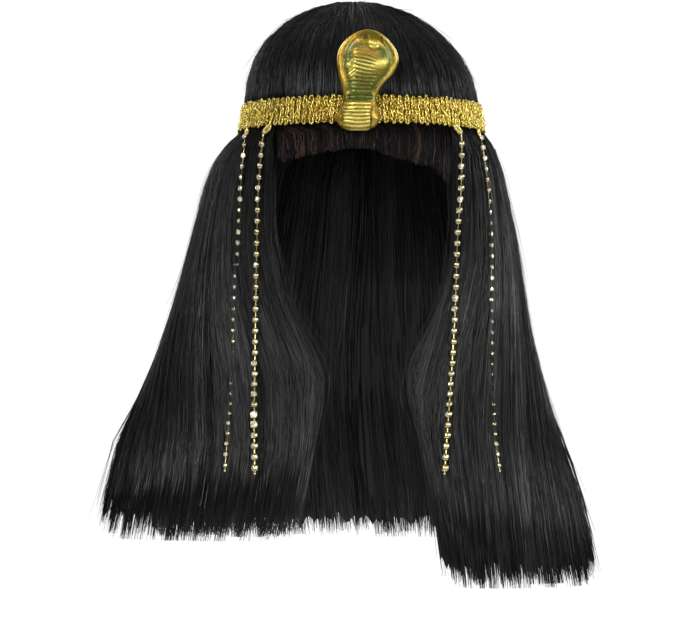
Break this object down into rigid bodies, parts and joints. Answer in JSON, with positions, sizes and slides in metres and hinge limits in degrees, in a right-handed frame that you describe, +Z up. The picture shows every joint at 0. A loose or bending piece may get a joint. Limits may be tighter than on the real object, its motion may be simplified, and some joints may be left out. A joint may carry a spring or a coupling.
{
  "type": "egyptian queen wig",
  "caption": "Long straight black wig with a blunt fringe, a gold braid head band, a moulded cobra at the brow and strings of gold cups hanging at the temples.",
  "frame": {"origin": "top of the hollow for the head, where the wig rests on the crown of the head", "axes": "+Z up, -Y the way the face looks, +X to the right as seen from the front"},
  "size_m": [0.352, 0.2489, 0.408],
  "materials": {
    "hair": "straight glossy synthetic hair",
    "gold_braid": "sparkling metallic yarn braid",
    "gilt_cobra": "gold paint with green patina in the recesses",
    "gold_cups": "bright gold cups with clear faceted stones"
  },
  "bodies": {
    "root": {"crown_hair": "hair", "fringe_hair": "hair", "left_fall": "hair", "right_fall": "hair", "back_fall": "hair", "head_band": "gold_braid", "cobra_ornament": "gilt_cobra", "ring_front_left": "gold_cups", "ring_side_left": "gold_cups", "ring_front_right": "gold_cups", "ring_side_right": "gold_cups", "chain_front_left": "gold_cups", "chain_side_left": "gold_cups", "chain_front_right": "gold_cups", "chain_side_right": "gold_cups"}
  },
  "joints": []
}
